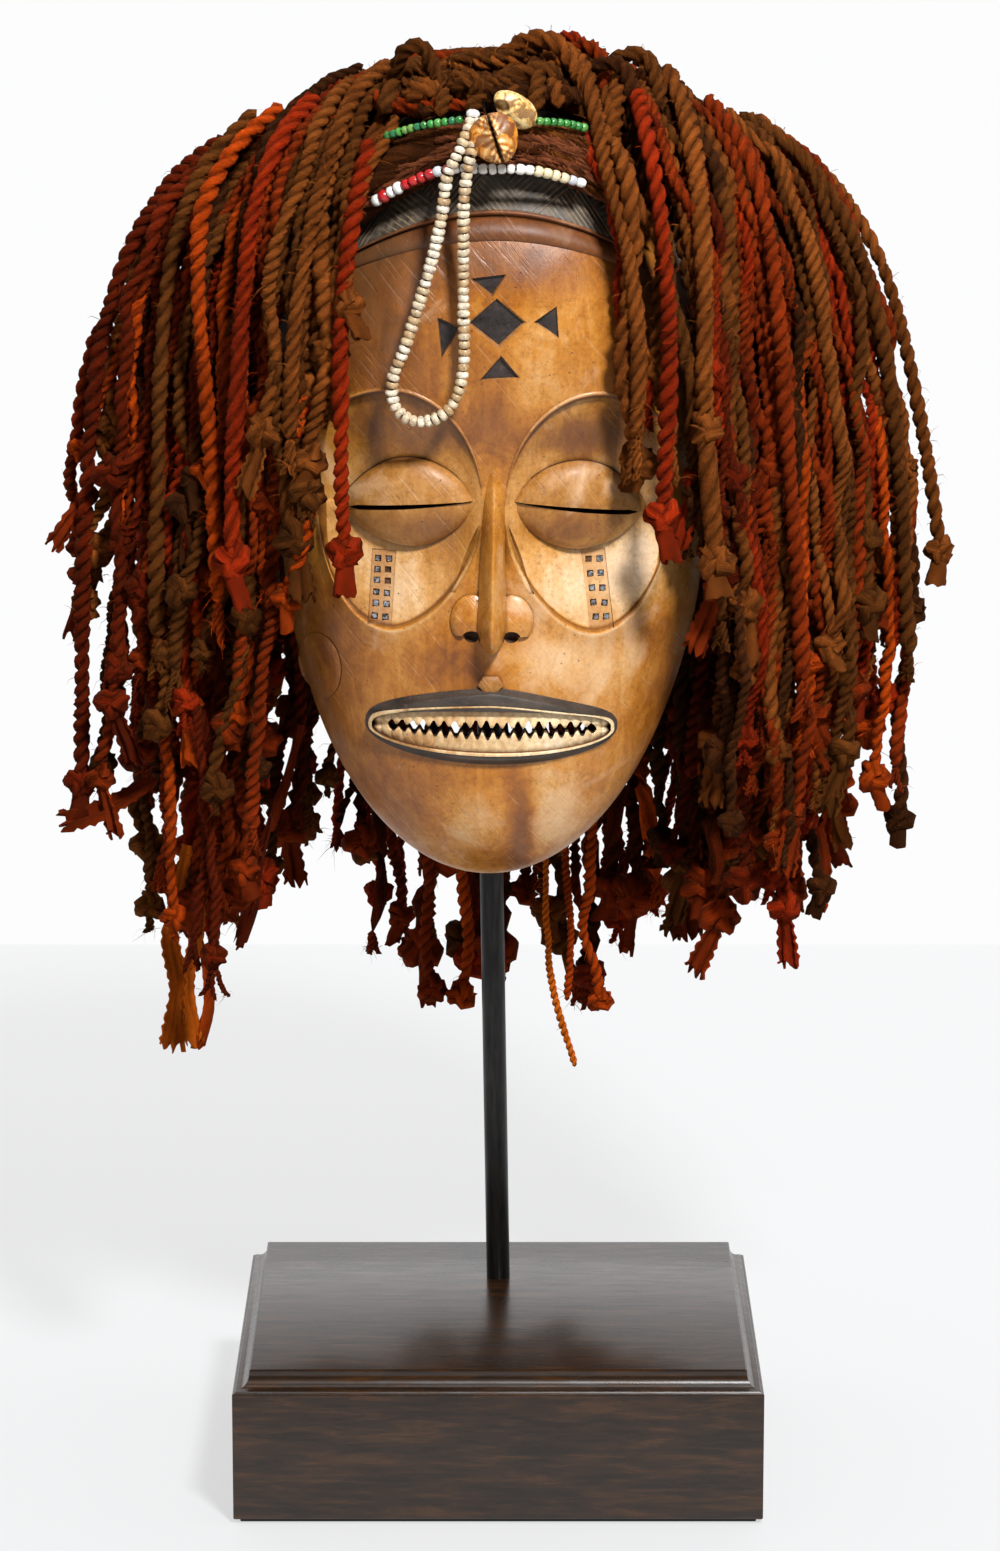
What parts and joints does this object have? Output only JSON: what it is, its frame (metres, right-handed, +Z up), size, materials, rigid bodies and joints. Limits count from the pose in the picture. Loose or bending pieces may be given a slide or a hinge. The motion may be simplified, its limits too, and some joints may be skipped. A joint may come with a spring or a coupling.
{
  "type": "african mask on a stand",
  "caption": "Carved wooden face mask with a wig of twisted dyed cords, bead strings and cowrie shells, held up by a steel rod in a moulded wooden base.",
  "frame": {"origin": "centre of the base's underside", "axes": "+Z up, the face looks along -Y, +X to the viewer's right"},
  "size_m": [0.3351, 0.2564, 0.551],
  "materials": {
    "felt": "thin black underlay",
    "dark_wood": "dark stained wood, satin varnish with fine grain",
    "black_steel": "satin black paint",
    "carved_wood": "polished tan wood with ochre and darker stain, blackened lips and band",
    "net": "knotted brown fibre net and flat braid",
    "cord_brown": "twisted brown cloth and yarn cord, fuzzy",
    "cord_red": "twisted rust red cloth cord, fuzzy",
    "cord_orange": "twisted orange cloth cord, fuzzy",
    "cord_dark": "twisted dark brown and burgundy cloth cord, fuzzy",
    "bead_cream": "cream glass beads with brown dirt between them",
    "bead_white": "white glass beads, some red",
    "bead_green": "small green glass beads",
    "shell": "yellowed cowrie shell with brown blotches, glossy"
  },
  "bodies": {
    "root": {"base_pad": "felt", "base_block": "dark_wood", "support_rod": "black_steel", "mask": "carved_wood", "wig_cap": "net", "brow_braid": "net", "tied_cords": "cord_dark", "lock_left_inner": "cord_red", "lock_left_brow": "cord_red", "lock_left_orange": "cord_orange", "lock_left_thick": "cord_red", "lock_left_side": "cord_brown", "lock_left_far": "cord_red", "lock_right_brow": "cord_brown", "lock_right_eye": "cord_red", "lock_right_jersey": "cord_brown", "lock_right_side": "cord_red", "lock_right_far": "cord_brown", "lock_right_outer": "cord_brown", "crown_loop": "cord_brown", "bead_loop": "bead_cream", "band_bead_strand": "bead_white", "green_beads_left": "bead_green", "green_beads_right": "bead_green", "cowrie_front": "shell", "cowrie_upper": "shell"}
  },
  "joints": []
}
